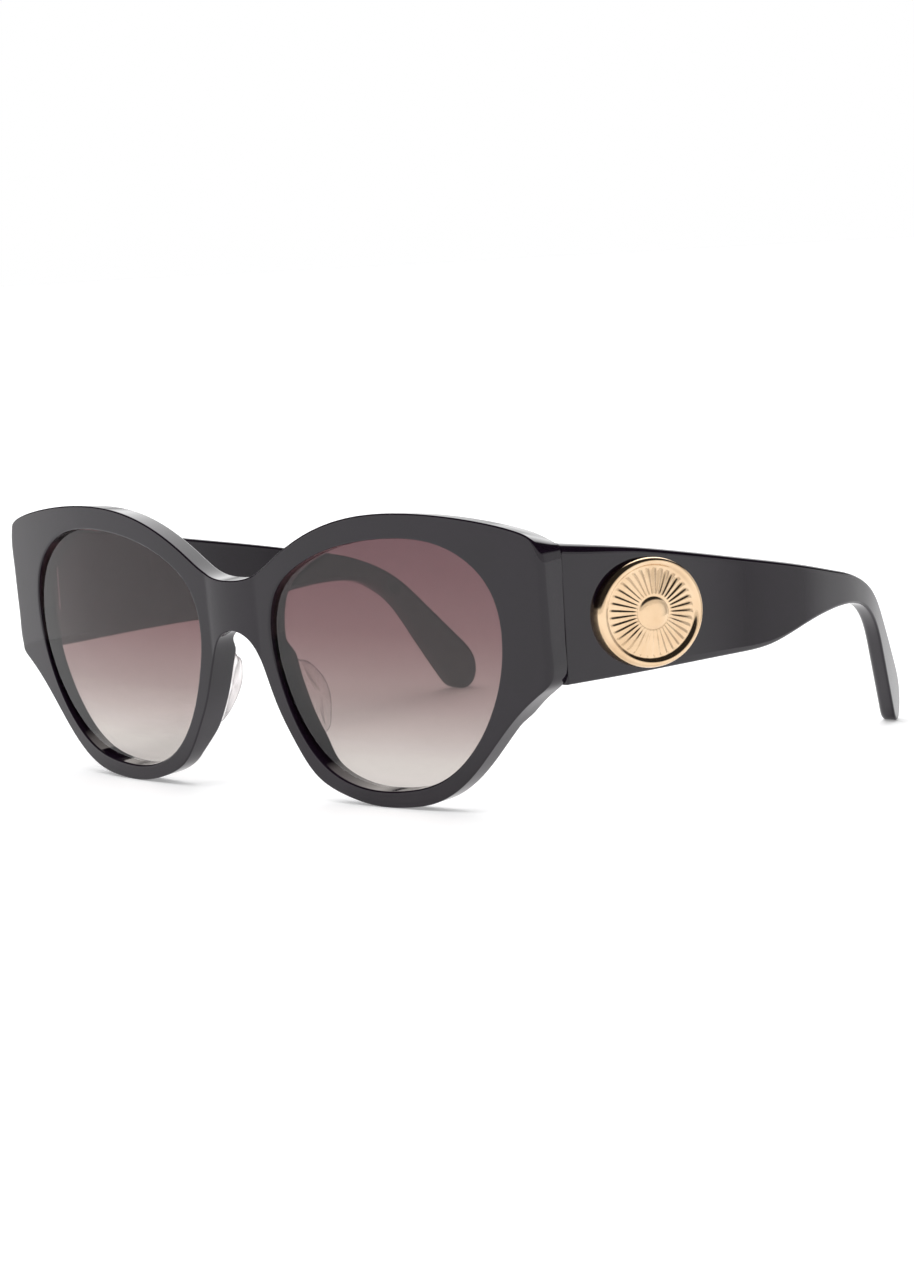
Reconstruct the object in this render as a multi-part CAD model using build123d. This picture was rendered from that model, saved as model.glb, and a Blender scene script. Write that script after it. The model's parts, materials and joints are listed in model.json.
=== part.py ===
from build123d import *
from math import asin, cos, radians, sin
import os

# Acetate sunglasses, open, standing on the rim bottoms and the temple tips.
# Millimetres. +X is the wearer's left, -Y is the way the wearer looks, +Z is up.
# "Front axes" are the axes of the front before it leans; lean() turns them into the row's axes.
# The joints and hinges don't lean.

# Front
FRONT_RADIUS = 380.0         # the front is bent round the face to this radius
FRONT_THICKNESS = 4.2
FRONT_LEAN = 3.0             # degrees, top forward of bottom
LEAN_HEIGHT = 26.0           # the height that stays where it is when the front leans
BRIDGE_SWELL = 0.66          # how far the middle of the bridge swells forward
BRIDGE_HALF = 6.6            # half the width of the swelling
HALF_WIDTH = 72.3
JOINT_Y = 11.5               # back face of the end pieces, upright
BLOCK_X = 64.4               # inner side of the thickened end piece
BLOCK_TOP = 49.2
TOP_EDGE = [(0, 41.6), (5.5, 42.3), (11.6, 45.7), (17.5, 49.2), (24.5, 52.1), (33, 54.0),
            (42.5, 54.6), (52, 54.1), (61, 52.85), (67.6, 51.3)]
TOP_CORNER = (71.1, 50.1)
SIDE_TOP = (HALF_WIDTH, 47.6)
SIDE_BOTTOM = (HALF_WIDTH, 25.0)
LOW_CORNER = (71.7, 23.8)
LOW_EDGE = [(70.0, 22.5), (65.4, 18.9), (58.9, 12.0), (53.0, 6.0), (46.5, 2.1), (39, 0.6),
            (31.5, 0.6), (25, 2.0), (18.5, 5.0), (13.2, 11.6), (9.4, 18.6), (6.4, 26.6),
            (4.0, 30.4), (0, 32.0)]

# Lens openings and lenses
OPENING = [(38.5, 49.9), (28.0, 48.4), (18.4, 44.9), (11.9, 39.6), (9.75, 32.0), (11.2, 23.0),
           (15.2, 13.6), (21.2, 7.0), (29.5, 3.8), (38.5, 3.7), (47.5, 6.0), (54.5, 11.4),
           (60.3, 20.6), (62.9, 31.5), (61.0, 41.3), (54.5, 47.4)]
LENS_CENTRE = (36.4, 26.9)
OPENING_HALVES = (26.6, 23.3)    # half the opening's width and height
LENS_RADIUS = 260.0
LENS_THICKNESS = 1.5
LENS_SET_BACK = 0.3          # the lens's middle behind the front face
LENS_TURN = 0.4              # degrees the lens wraps less than the front does
LENS_BITE = 0.8              # how far the lens edge sits in its groove
FIT = 0.05                   # gap round a piece that is set into another

# Nose pads
PAD_OUTLINE = [(5.9, 28.2), (6.9, 25.6), (8.5, 21.8), (10.5, 17.8), (12.9, 14.0), (14.7, 11.9),
               (15.9, 12.0), (15.0, 13.6), (12.7, 18.4), (11.2, 22.8), (10.1, 26.4), (8.4, 28.8)]
PAD_BASE_START = 4.2         # just behind the lens
PAD_BASE_DEPTH = 6.2         # where the black base ends and the clear pad begins
PAD_DEPTH = 9.6
PAD_MIDDLE = (11.0, 20.0)
PAD_TIP_SCALE = (1.15, 0.84)     # the pad's back face against its base, in width and height
PAD_FLARE = 1.2              # how far the back face leans away from the nose

# Hinges
HINGE_X = 66.4
HINGE_Z = 36.4
KNUCKLE_RADIUS = 1.35
KNUCKLE_HEIGHT = 1.7
KNUCKLE_STEP = 1.8
SCREW_RADIUS = 0.6
SCREW_CLEARANCE = 0.03
SCREW_HEAD_RADIUS = 1.05
SCREW_HEAD_HEIGHT = 0.8
POCKET_FLOOR = 9.85
POCKET_X = (64.7, 68.3)
WEB_WIDTH = 1.2
PLATE_HALF_HEIGHT = 5.2
FRONT_PLATE_X = (64.6, 69.6)
FRONT_PLATE_Y = (8.75, POCKET_FLOOR)
TEMPLE_PLATE_X = (69.85, 70.95)
TEMPLE_PLATE_Y = (12.4, 20.3)

# Temples: side outline as (y, z), plan curve of the outer face as (y, x)
TEMPLE_THICKNESS = 3.8
TEMPLE_START = 8.0
JOINT_GAP = 0.12
TEMPLE_TOP = [(TEMPLE_START, 49.4), (30, 46.4), (55, 42.1), (78, 38.0), (90, 35.6), (98, 33.8),
              (103.4, 31.9), (108, 29.5), (111.9, 26.4), (115.6, 22.4), (120.1, 17.2), (124.4, 12.2)]
TEMPLE_TIP = [(124.4, 12.2), (126.9, 8.6), (127.6, 5.4), (127.0, 2.4), (125.1, 0.6), (122.7, 1.2),
              (121.1, 3.2)]
TEMPLE_LOW = [(121.1, 3.2), (118.7, 7.3), (116.1, 11.8), (113.3, 16.8), (110.3, 21.4), (106.4, 25.0),
              (102, 27.3), (95.5, 28.3), (87.5, 28.0), (80, 27.0), (73, 25.6), (66, 24.4), (55, 24.1),
              (TEMPLE_START, 23.9)]
TEMPLE_PLAN = [(TEMPLE_START, 71.9), (20, 73.5), (30, 74.7), (40, 75.5), (50, 76.0), (60, 76.0),
               (70, 75.5), (80, 74.6), (90, 73.1), (100, 71.2), (107, 69.3), (114, 66.6),
               (121, 63.6), (129, 60.0)]

# Core wire inside each temple
WIRE_PATH = [(24, 36.6), (50, 33.8), (80, 32.2), (98, 31.0), (108, 26.8), (119.5, 10.5)]
WIRE_HEIGHT = 2.2
WIRE_THICKNESS = 1.2

# Gold plaque on the outside of each temple
PLAQUE_CENTRE = (31.1, 34.6)
PLAQUE_SIZE = (26.2, 19.9)
PLAQUE_TURN = -6.0           # degrees, in line with the temple
PLAQUE_RISE = 1.7
PLAQUE_RIM = 1.5
PLAQUE_FIELD_DROP = 0.6
POST_RADIUS = 0.6
POST_LENGTH = 2.6
POST_SPACING = 10.4

TALL = 160.0                 # longer than anything that is cut with it
MID_HEIGHT = 28.0


def at_xz(points):
    return [(x, 0, z) for x, z in points]


def bent_slab(front_offset, back_offset):
    """The space between two depths behind the front's bent face."""
    axis = Pos(0, FRONT_RADIUS, MID_HEIGHT)
    outer = Cylinder(FRONT_RADIUS - front_offset, TALL)
    inner = Cylinder(FRONT_RADIUS - back_offset, TALL)
    return axis * outer - axis * inner


def bridge_swelling():
    radius = (BRIDGE_HALF**2 + BRIDGE_SWELL**2) / (2 * BRIDGE_SWELL)
    return (Pos(0, radius - BRIDGE_SWELL, MID_HEIGHT) * Cylinder(radius, TALL)
            & box_between((-BRIDGE_HALF, -5, -20), (BRIDGE_HALF, 2, 90)))


def through(face, near=-20.0, far=40.0):
    """A face of the XZ plane pushed through the front from y = near to y = far."""
    moved = Pos(0, far, 0) * face
    return extrude(moved, amount=far - near, dir=(0, -1, 0))


def lean(shape):
    """From front axes to the row's axes."""
    return Pos(0, 0, LEAN_HEIGHT) * Rot(FRONT_LEAN, 0, 0) * Pos(0, 0, -LEAN_HEIGHT) * shape


def other_side(shape):
    return mirror(shape, Plane.YZ)


def box_between(low, high):
    size = [b - a for a, b in zip(low, high)]
    middle = [(a + b) / 2 for a, b in zip(low, high)]
    return Pos(*middle) * Box(*size)


def front_outline():
    """Both halves of the front's outline, as one face."""
    top = Spline(*at_xz(TOP_EDGE), tangents=[(1, 0, 0), (1, 0, -0.25)])
    top_corner = Spline(*at_xz([TOP_EDGE[-1], TOP_CORNER, SIDE_TOP]),
                        tangents=[(1, 0, -0.25), (0, 0, -1)])
    side = Line(*at_xz([SIDE_TOP, SIDE_BOTTOM]))
    low_corner = Spline(*at_xz([SIDE_BOTTOM, LOW_CORNER, LOW_EDGE[0]]),
                        tangents=[(0, 0, -1), (-1, 0, -0.75)])
    low = Spline(*at_xz(LOW_EDGE), tangents=[(-1, 0, -0.75), (-1, 0, 0)])
    half = Curve() + [top, top_corner, side, low_corner, low]
    return make_face(list(half.edges()) + list(other_side(half).edges()))


def opening_face(grow=0.0):
    x0, z0 = LENS_CENTRE
    half_wide, half_tall = OPENING_HALVES
    grown = [(x0 + (x - x0) * (1 + grow / half_wide), z0 + (z - z0) * (1 + grow / half_tall))
             for x, z in OPENING]
    return make_face(Spline(*at_xz(grown), periodic=True))


def lens_solid(gap=0.0):
    """A round-faced lens, nearly square to the bent front; gap grows it all over."""
    x, z = LENS_CENTRE
    turn = asin(x / FRONT_RADIUS)
    facing = turn - radians(LENS_TURN)
    middle_radius = FRONT_RADIUS - LENS_SET_BACK
    centre = Pos(middle_radius * sin(turn) - LENS_RADIUS * sin(facing),
                 FRONT_RADIUS - middle_radius * cos(turn) + LENS_RADIUS * cos(facing), z)
    shell = centre * Sphere(LENS_RADIUS + gap) - centre * Sphere(LENS_RADIUS - LENS_THICKNESS - gap)
    return shell & through(opening_face(LENS_BITE + gap))


def pad_face():
    return make_face(Spline(*at_xz(PAD_OUTLINE), periodic=True))


def pad_base():
    return through(pad_face(), near=PAD_BASE_START, far=PAD_BASE_DEPTH - FIT)


def nose_pad():
    x, z = PAD_MIDDLE
    tip = scale(Pos(-x, 0, -z) * pad_face(), by=(PAD_TIP_SCALE[0], 1, PAD_TIP_SCALE[1]))
    tip = Pos(x + PAD_FLARE, PAD_DEPTH, z) * tip
    return loft([Pos(0, PAD_BASE_DEPTH, 0) * pad_face(), tip])


def knuckle(level, radius=KNUCKLE_RADIUS):
    return Pos(HINGE_X, JOINT_Y, HINGE_Z + level * KNUCKLE_STEP) * Cylinder(radius, KNUCKLE_HEIGHT)


def pin_hole():
    return Pos(HINGE_X, JOINT_Y, HINGE_Z) * Cylinder(SCREW_RADIUS + SCREW_CLEARANCE, 30)


def front_plate(gap=0.0):
    return box_between((FRONT_PLATE_X[0] - gap, FRONT_PLATE_Y[0] - gap, HINGE_Z - PLATE_HALF_HEIGHT - gap),
                       (FRONT_PLATE_X[1] + gap, FRONT_PLATE_Y[1] + gap, HINGE_Z + PLATE_HALF_HEIGHT + gap))


def front_hinge():
    """Three knuckles on a plate that is sunk in the end piece."""
    leaf = front_plate()
    for level in (-2, 0, 2):
        z = HINGE_Z + level * KNUCKLE_STEP
        web = box_between((HINGE_X - WEB_WIDTH / 2, FRONT_PLATE_Y[0], z - KNUCKLE_HEIGHT / 2),
                          (HINGE_X + WEB_WIDTH / 2, JOINT_Y, z + KNUCKLE_HEIGHT / 2))
        leaf += knuckle(level) + web
    return leaf - pin_hole()


def temple_plate(gap=0.0):
    return box_between((TEMPLE_PLATE_X[0] - gap, TEMPLE_PLATE_Y[0] - gap, HINGE_Z - PLATE_HALF_HEIGHT - gap),
                       (TEMPLE_PLATE_X[1] + gap, TEMPLE_PLATE_Y[1] + gap, HINGE_Z + PLATE_HALF_HEIGHT + gap))


def temple_web(level, gap=0.0):
    z = HINGE_Z + level * KNUCKLE_STEP
    return box_between((HINGE_X, JOINT_Y + 0.15 - gap, z - KNUCKLE_HEIGHT / 2 - gap),
                       (TEMPLE_PLATE_X[1], JOINT_Y + KNUCKLE_RADIUS + gap, z + KNUCKLE_HEIGHT / 2 + gap))


def temple_hinge():
    """Two knuckles on a plate that is sunk in the temple."""
    leaf = temple_plate()
    for level in (-1, 1):
        leaf += knuckle(level) + temple_web(level)
    return leaf - pin_hole()


def hinge_screw():
    reach = 2 * KNUCKLE_STEP + KNUCKLE_HEIGHT / 2
    shank = Pos(HINGE_X, JOINT_Y, HINGE_Z) * Cylinder(SCREW_RADIUS, 2 * reach)
    head_z = HINGE_Z + reach + SCREW_HEAD_HEIGHT / 2
    head = Pos(HINGE_X, JOINT_Y, head_z) * Cylinder(SCREW_HEAD_RADIUS, SCREW_HEAD_HEIGHT)
    slot = Pos(HINGE_X, JOINT_Y, head_z + 0.3) * Box(3, 0.35, 0.4)
    return shank + head - slot


def hinge_pocket():
    """Room in the end piece for the knuckles."""
    reach = 2 * KNUCKLE_STEP + KNUCKLE_HEIGHT / 2 + SCREW_HEAD_HEIGHT + 0.3
    low, high = HINGE_Z - reach, HINGE_Z + reach
    return box_between((POCKET_X[0], POCKET_FLOOR, low), (POCKET_X[1], JOINT_Y + 5, high))


def front_frame():
    block = box_between((BLOCK_X, 8, -20), (HALF_WIDTH + 20, JOINT_Y, BLOCK_TOP))
    depth = lean(bent_slab(0, FRONT_THICKNESS) + bridge_swelling()) + block + other_side(block)
    body = depth & lean(through(front_outline()))
    lens_cuts = [lean(lens_solid(FIT)), lean(through(opening_face()))]
    for cut in (*lens_cuts, hinge_pocket(), front_plate(FIT)):
        body = body - cut - other_side(cut)
    base = lean(pad_base())
    return body + base + other_side(base)


def at_yz(points):
    return [(0, y, z) for y, z in points]


def temple_side():
    top = Spline(*at_yz(TEMPLE_TOP))
    tip = Spline(*at_yz(TEMPLE_TIP), tangents=[top % 1, Vector(0, -0.62, 0.78)])
    low = Spline(*at_yz(TEMPLE_LOW), tangents=[Vector(0, -0.62, 0.78), Vector(0, -1, 0)])
    end = Line(*at_yz([TEMPLE_LOW[-1], TEMPLE_TOP[0]]))
    return extrude(make_face([top, tip, low, end]), amount=TALL, dir=(1, 0, 0))


def plan_band(inner, outer):
    """The space between two distances outside the temple's outer face, in plan."""
    curves = [Spline(*[(x + offset, y, 0) for y, x in TEMPLE_PLAN]) for offset in (inner, outer)]
    ends = [Line(curves[0] @ t, curves[1] @ t) for t in (0, 1)]
    return extrude(make_face(curves + ends), amount=TALL / 2, both=True)


def wire(gap=0.0):
    """A flat wire along the middle of the temple."""
    half = WIRE_HEIGHT / 2 + gap
    sides = [Spline(*at_yz([(y, z + s * half) for y, z in WIRE_PATH])) for s in (1, -1)]
    ends = [Line(sides[0] @ t, sides[1] @ t) for t in (0, 1)]
    band = extrude(make_face(sides + ends), amount=TALL, dir=(1, 0, 0))
    middle = -TEMPLE_THICKNESS / 2
    half_thick = WIRE_THICKNESS / 2 + gap
    return band & plan_band(middle - half_thick, middle + half_thick)


def plaque_plane(distance=0.0):
    """Upright plane facing +X, turned in line with the temple, behind the plaque."""
    y, z = PLAQUE_CENTRE
    return Plane(origin=(distance, y, z), x_dir=(0, cos(radians(PLAQUE_TURN)), sin(radians(PLAQUE_TURN))),
                 z_dir=(1, 0, 0))


def plaque_posts(gap=0.0):
    circles = [plaque_plane() * (Pos(0, side * POST_SPACING / 2) * Circle(POST_RADIUS + gap))
               for side in (1, -1)]
    rods = [extrude(circle, amount=TALL, dir=(1, 0, 0)) for circle in circles]
    return (rods[0] + rods[1]) & plan_band(-POST_LENGTH - gap, 0.2)


def plaque():
    """Oval plaque with a raised rim and a sunk field, and two posts into the temple."""
    long, short = PLAQUE_SIZE[0] / 2, PLAQUE_SIZE[1] / 2
    oval = extrude(plaque_plane() * Ellipse(long, short), amount=TALL, dir=(1, 0, 0))
    inner = plaque_plane() * Ellipse(long - PLAQUE_RIM, short - PLAQUE_RIM)
    field = extrude(inner, amount=TALL, dir=(1, 0, 0))
    body = oval & plan_band(0.02, PLAQUE_RISE)
    body -= field & plan_band(PLAQUE_RISE - PLAQUE_FIELD_DROP, PLAQUE_RISE + 1)
    return body + plaque_posts()


def temple():
    body = temple_side() & plan_band(-TEMPLE_THICKNESS, 0)
    body -= box_between((0, -30, -20), (HALF_WIDTH + 20, JOINT_Y + JOINT_GAP, 90))
    sunk = temple_plate(FIT) + temple_web(-1, FIT) + temple_web(1, FIT)
    return body - sunk - wire(FIT) - plaque_posts(FIT)


def all_parts():
    left = {
        "lens_left": lean(lens_solid()),
        "nose_pad_left": lean(nose_pad()),
        "front_hinge_left": front_hinge(),
        "hinge_screw_left": hinge_screw(),
        "temple_hinge_left": temple_hinge(),
        "temple_left": temple(),
        "core_wire_left": wire(),
        "plaque_left": plaque(),
    }
    parts = {"front_frame": front_frame()}
    for name, shape in left.items():
        parts[name] = shape
        parts[name.replace("_left", "_right")] = other_side(shape)
    return parts


def main():
    parts = all_parts()
    box = Compound([solid for shape in parts.values() for solid in shape.solids()]).bounding_box()
    to_origin = Pos(0, -(box.min.Y + box.max.Y) / 2, -box.min.Z)
    os.makedirs("parts", exist_ok=True)
    for name, shape in parts.items():
        export_step(to_origin * shape, f"parts/{name}.step")


main()
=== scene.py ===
import json
import math

import bmesh
import bpy
import numpy as np
from mathutils import Matrix, Vector


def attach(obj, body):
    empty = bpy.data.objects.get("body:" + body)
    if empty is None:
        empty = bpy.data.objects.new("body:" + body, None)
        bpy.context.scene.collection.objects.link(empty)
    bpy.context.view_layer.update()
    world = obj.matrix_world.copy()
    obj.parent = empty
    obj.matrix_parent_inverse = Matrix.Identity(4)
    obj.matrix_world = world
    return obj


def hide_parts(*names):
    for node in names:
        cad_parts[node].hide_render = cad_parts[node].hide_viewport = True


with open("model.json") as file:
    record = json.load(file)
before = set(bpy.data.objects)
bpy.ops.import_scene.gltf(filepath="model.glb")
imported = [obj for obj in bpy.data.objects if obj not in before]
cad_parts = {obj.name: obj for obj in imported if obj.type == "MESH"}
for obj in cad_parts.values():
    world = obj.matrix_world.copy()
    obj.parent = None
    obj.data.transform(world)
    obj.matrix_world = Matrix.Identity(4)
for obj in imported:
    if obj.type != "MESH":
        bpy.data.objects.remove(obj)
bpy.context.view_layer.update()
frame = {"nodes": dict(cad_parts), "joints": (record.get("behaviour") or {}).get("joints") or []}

# Millimetres: +X the wearer's left, -Y forward, +Z up. The front, the lenses and the pads are drawn
# before they lean; the temples and the joints don't lean.
MM = 0.001
LEAN = math.radians(3.0)
LEAN_HEIGHT = 26.0
FRONT_RADIUS = 380.0
FRONT_THICKNESS = 4.2
HALF_WIDTH = 72.3            # to the outer side of an end piece
BRIDGE_SWELL = 0.66          # how far the middle of the bridge swells forward
BRIDGE_HALF = 6.6            # half the width of the swelling
JOINT_Y = 11.5               # the plane where the front meets the temples, upright
HINGE = (66.4, JOINT_Y, 36.4)
WELD = 0.004                 # points nearer than this become one

OUTLINE = [(0, 41.6), (5.5, 42.3), (11.6, 45.7), (17.5, 49.15), (24.5, 52.05), (33, 54.0),
           (42.5, 54.6), (52, 54.1), (61, 52.85), (67.6, 51.3), (70.2, 50.15), (71.55, 48.7),
           (72.25, 46.4),
           (HALF_WIDTH, 42.0), (HALF_WIDTH, 36.0), (HALF_WIDTH, 30.0), (72.2, 25.6), (71.5, 23.9),
           (69.9, 22.5), (65.4, 18.9), (58.9, 12.0), (53.0, 6.0), (46.5, 2.1), (39, 0.6), (31.5, 0.6),
           (25, 2.0), (18.5, 5.0), (13.2, 11.6), (9.4, 18.6), (6.4, 26.6), (4.0, 30.4), (0, 32.0)]
OPENING = [(38.5, 49.9), (28.0, 48.4), (18.4, 44.9), (11.9, 39.6), (9.75, 32.0), (11.2, 23.0),
           (15.2, 13.6), (21.2, 7.0), (29.5, 3.8), (38.5, 3.7), (47.5, 6.0), (54.5, 11.4),
           (60.3, 20.6), (62.9, 31.5), (61.0, 41.3), (54.5, 47.4)]
LENS_CENTRE = (36.4, 26.9)
LENS_RADIUS = 260.0
LENS_THICKNESS = 1.5
LENS_SET_BACK = 0.3          # the lens's middle behind the front face
LENS_TURN = math.radians(0.4)    # how much less the lenses wrap than the front

TEMPLE_EDGE = [(8, 49.4), (30, 46.4), (55, 42.1), (78, 38.0), (90, 35.6), (98, 33.8), (103.4, 31.9),
               (108, 29.5), (111.9, 26.4), (115.6, 22.4), (120.1, 17.2), (124.4, 12.2), (126.9, 8.6),
               (127.6, 5.4), (127.0, 2.4), (125.1, 0.6), (122.7, 1.2), (121.1, 3.2), (118.7, 7.3),
               (116.1, 11.8), (113.3, 16.8), (110.3, 21.4), (106.4, 25.0), (102, 27.3), (95.5, 28.3),
               (87.5, 28.0), (80, 27.0), (73, 25.6), (66, 24.4), (55, 24.1), (30, 24.0), (8, 23.9)]
TEMPLE_APEX = 15             # the lowest point of the tip in TEMPLE_EDGE
TEMPLE_PLAN = [(8, 71.9), (20, 73.5), (30, 74.7), (40, 75.5), (50, 76.0), (60, 76.0), (70, 75.5),
               (80, 74.6), (90, 73.1), (100, 71.2), (107, 69.3), (114, 66.6), (121, 63.6), (129, 60.0)]
TEMPLE_THICKNESS = 3.8
JOINT_GAP = 0.12

# HINGE is the first joint's pivot, which gives the shift to the frame's own origin.
SHIFT = np.array(frame["joints"][0]["pos_m"]) / MM - np.array(HINGE)


def leaned(points):
    """Points of the front, leaned back."""
    p = np.atleast_2d(np.array(points, float))
    y, z = p[:, 1], p[:, 2] - LEAN_HEIGHT
    c, s = math.cos(LEAN), math.sin(LEAN)
    return np.column_stack([p[:, 0], y * c - z * s, LEAN_HEIGHT + y * s + z * c])


def to_frame(points, lean=True):
    """Millimetres as drawn to metres in the shared frame."""
    p = leaned(points) if lean else np.atleast_2d(np.array(points, float))
    return (p + SHIFT) * MM


# ---------------------------------------------------------------- curves

FINE = 4000                  # samples along a curve before it is spaced out
BLUR = 40                    # samples on each side that even out the spacing


def unit(v):
    v = np.asarray(v, float)
    return v / np.maximum(np.linalg.norm(v, axis=-1, keepdims=True), 1e-12)


def smoothstep(a, b, x):
    t = np.clip((np.asarray(x, float) - a) / (b - a), 0, 1)
    return t * t * (3 - 2 * t)


class Smooth:
    """The smooth curve through some points, with a continuous bend."""

    def __init__(self, points, closed=False, start=None, end=None):
        p = np.array(points, float)
        if closed:
            p = np.vstack([p, p[:1]])
        h = np.linalg.norm(np.diff(p, axis=0), axis=1)
        n = len(p)
        a, b = np.zeros((n, n)), np.zeros(p.shape)
        for i in range(1, n - 1):
            a[i, i - 1:i + 2] = h[i], 2 * (h[i - 1] + h[i]), h[i - 1]
            b[i] = 3 * (h[i] / h[i - 1] * (p[i] - p[i - 1]) + h[i - 1] / h[i] * (p[i + 1] - p[i]))
        if closed:
            a[0, 0], a[0, 1], a[0, n - 2] = 2 * (h[-1] + h[0]), h[-1], h[0]
            b[0] = 3 * (h[0] / h[-1] * (p[-1] - p[-2]) + h[-1] / h[0] * (p[1] - p[0]))
            a[-1, 0], a[-1, -1] = 1, -1
        else:
            free_start, free_end = 3 * (p[1] - p[0]) / h[0], 3 * (p[-1] - p[-2]) / h[-1]
            a[0, 0], a[0, 1], b[0] = (2, 1, free_start) if start is None else (1, 0, unit(start))
            a[-1, -1], a[-1, -2], b[-1] = (2, 1, free_end) if end is None else (1, 0, unit(end))
        self.p, self.h, self.m = p, h, np.linalg.solve(a, b)
        self.t = np.concatenate([[0], np.cumsum(h)])

    def at(self, t):
        """Points and directions at parameters t."""
        t = np.clip(np.atleast_1d(t), 0, self.t[-1])
        i = np.clip(np.searchsorted(self.t, t, side="right") - 1, 0, len(self.h) - 1)
        h = self.h[i][:, None]
        u = ((t - self.t[i])[:, None]) / h
        p0, p1, m0, m1 = self.p[i], self.p[i + 1], self.m[i] * h, self.m[i + 1] * h
        place = ((2 * u**3 - 3 * u**2 + 1) * p0 + (u**3 - 2 * u**2 + u) * m0
                 + (3 * u**2 - 2 * u**3) * p1 + (u**3 - u**2) * m1)
        slope = ((6 * u**2 - 6 * u) * p0 + (3 * u**2 - 4 * u + 1) * m0
                 + (6 * u - 6 * u**2) * p1 + (3 * u**2 - 2 * u) * m1)
        return place, unit(slope)

    def spaced(self, count, low=0.0, high=None, bend=3.0):
        """Parameters of count points, evenly spaced but closer where the curve bends."""
        high = self.t[-1] if high is None else high
        t = np.linspace(low, high, FINE)
        place, slope = self.at(t)
        step = np.linalg.norm(np.diff(place, axis=0), axis=1)
        turn = np.linalg.norm(np.diff(slope, axis=0), axis=1)
        weight = step + bend * turn
        window = np.ones(2 * BLUR + 1) / (2 * BLUR + 1)
        weight = np.convolve(np.pad(weight, BLUR, mode="edge"), window, mode="valid")
        total = np.concatenate([[0], np.cumsum(weight)])
        return np.interp(np.linspace(0, total[-1], count), total, t)


# ---------------------------------------------------------------- meshes

class Patchwork:
    """Collects points and faces, then makes one mesh of them."""

    def __init__(self):
        self.points, self.faces = [], []

    def rows(self, rows, closed=False):
        """A grid of quads between rows of points; every row has as many points."""
        rows = [np.asarray(r, float) for r in rows]
        width, base = len(rows[0]), len(self.points)
        for r in rows:
            self.points += [tuple(p) for p in r]
        across = width if closed else width - 1
        for j in range(len(rows) - 1):
            for i in range(across):
                a, b = base + j * width + i, base + j * width + (i + 1) % width
                self.faces.append((a, b, b + width, a + width))

    def fan(self, ring, centre):
        """Triangles from a closed ring to one point."""
        base = len(self.points)
        self.points += [tuple(p) for p in ring] + [tuple(centre)]
        n = len(ring)
        for i in range(n):
            self.faces.append((base + i, base + (i + 1) % n, base + n))

    def mirrored(self):
        twin = Patchwork()
        twin.points = [(-x, y, z) for x, y, z in self.points]
        twin.faces = [tuple(reversed(f)) for f in self.faces]
        return twin

    def plus(self, other):
        both = Patchwork()
        both.points = self.points + other.points
        both.faces = self.faces + [tuple(i + len(self.points) for i in f) for f in other.faces]
        return both

    def make(self, name, lean=True, sharp=35.0):
        mesh = bpy.data.meshes.new(name)
        mesh.from_pydata([tuple(p) for p in to_frame(self.points, lean)], [], self.faces)
        tidy_mesh(mesh)
        finish_mesh(mesh, sharp)
        obj = bpy.data.objects.new(name, mesh)
        bpy.context.scene.collection.objects.link(obj)
        return obj


def tidy_mesh(mesh):
    """Welds the seams and turns every face outward."""
    bm = bmesh.new()
    bm.from_mesh(mesh)
    bmesh.ops.remove_doubles(bm, verts=bm.verts, dist=WELD * MM)
    bmesh.ops.dissolve_degenerate(bm, edges=bm.edges, dist=0.5 * WELD * MM)
    bmesh.ops.recalc_face_normals(bm, faces=bm.faces)
    bm.to_mesh(mesh)
    bm.free()


def finish_mesh(mesh, sharp):
    for polygon in mesh.polygons:
        polygon.use_smooth = True
    mesh.set_sharp_from_angle(angle=math.radians(sharp))


def add_modifier(obj, kind, **settings):
    modifier = obj.modifiers.new(kind.lower(), kind)
    for key, value in settings.items():
        setattr(modifier, key, value)


def apply_modifiers(obj, sharp):
    """Bakes the modifiers of obj into its mesh."""
    graph = bpy.context.evaluated_depsgraph_get()
    mesh = bpy.data.meshes.new_from_object(obj.evaluated_get(graph))
    obj.modifiers.clear()
    old, obj.data = obj.data, mesh
    bpy.data.meshes.remove(old)
    finish_mesh(mesh, sharp)


# ---------------------------------------------------------------- the front

# Each pair is where something starts and where it is full, along x or z.
BASE_DEPTH = 6.2             # how deep the black nose bases stand
BASE_UPPER, BASE_LOWER, BASE_SIDE = (30.4, 26.6), (6.0, 12.4), (24.0, 19.0)
BLOCK_LOW = (62.4, 64.9)     # x where the end piece thickens beside the hinge
BLOCK_HIGH = (63.0, 69.0)    # and at its top
BLOCK_BLEND = (42.5, 50.5)   # heights between the two
TOP_ZONE = (47.0, 51.0)      # heights where the top slopes down towards the back
TOP_FALL, TOP_FALL_X = 0.45, (20, 48)
CORNER_FALL, CORNER_FALL_X = 1.15, (63.0, 69.0)

EDGE_ROUNDING = 0.3          # edges of the front face
SIDE_ROUNDING = 1.15         # upright corners of the end pieces
SIDE_X, SIDE_Z = (70.3, 72.2), (22.5, 25.5)
BACK_ROUNDING = 0.6          # edges of the back face
END_ROUNDING = 0.18          # edges of the joint faces
END_X, END_Z = (63.5, 67.0), (20.6, 23.4)
LIP_ROUNDING = 0.35          # edge of the lens opening at the face
BACK_LIP_ROUNDING = 0.5      # and at the back
FACE_ROWS, ROUND_ROWS, WALL_ROWS = 20, 7, 4
OUTER_STATIONS, BRIDGE_STATIONS = 250, 16
EVENING_PASSES = 120         # how often the spokes round the lens are evened out

POCKET_X = (64.7, 68.3)      # the hinge pocket in the joint face
POCKET_DEPTH = 1.65
POCKET_HALF_HEIGHT = 5.55
POCKET_CLEAR = 4.0           # how far its cutter reaches past the joint


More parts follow.
